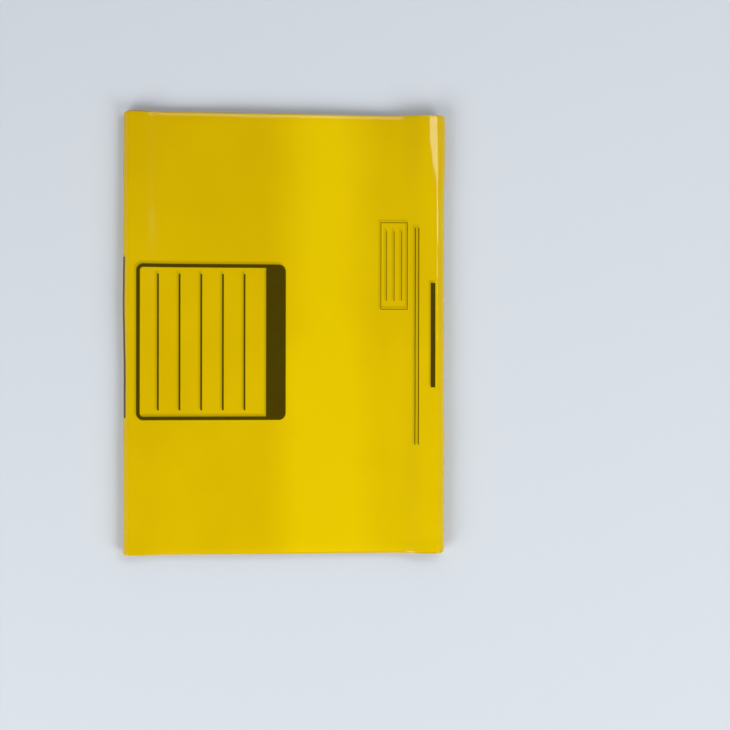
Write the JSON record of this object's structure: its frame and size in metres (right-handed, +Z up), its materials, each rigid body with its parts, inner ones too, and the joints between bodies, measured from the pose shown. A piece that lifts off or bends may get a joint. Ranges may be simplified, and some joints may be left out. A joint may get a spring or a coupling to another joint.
{
  "type": "biohazard waste bag",
  "caption": "Flat pack of tubular film waste bags for clinical and laboratory waste, laid on each other and folded over, lying flat with the folds left as soft loops.",
  "frame": {"origin": "on the floor, under the middle of the folded pack", "axes": "+Z up, out of the wide top panel; +Y along the bags' width, which is the pack's long side and the line of its folds; +X along the bags' length, the way they are folded, towards the wider open loop"},
  "size_m": [0.227, 0.312, 0.0131],
  "materials": {
    "yellow_film": "gloss"
  },
  "bodies": {
    "root": {"bag_01": "yellow_film", "bag_02": "yellow_film", "bag_03": "yellow_film", "bag_04": "yellow_film", "bag_05": "yellow_film", "bag_06": "yellow_film", "bag_07": "yellow_film", "bag_08": "yellow_film", "bag_09": "yellow_film", "bag_10": "yellow_film"}
  },
  "joints": []
}
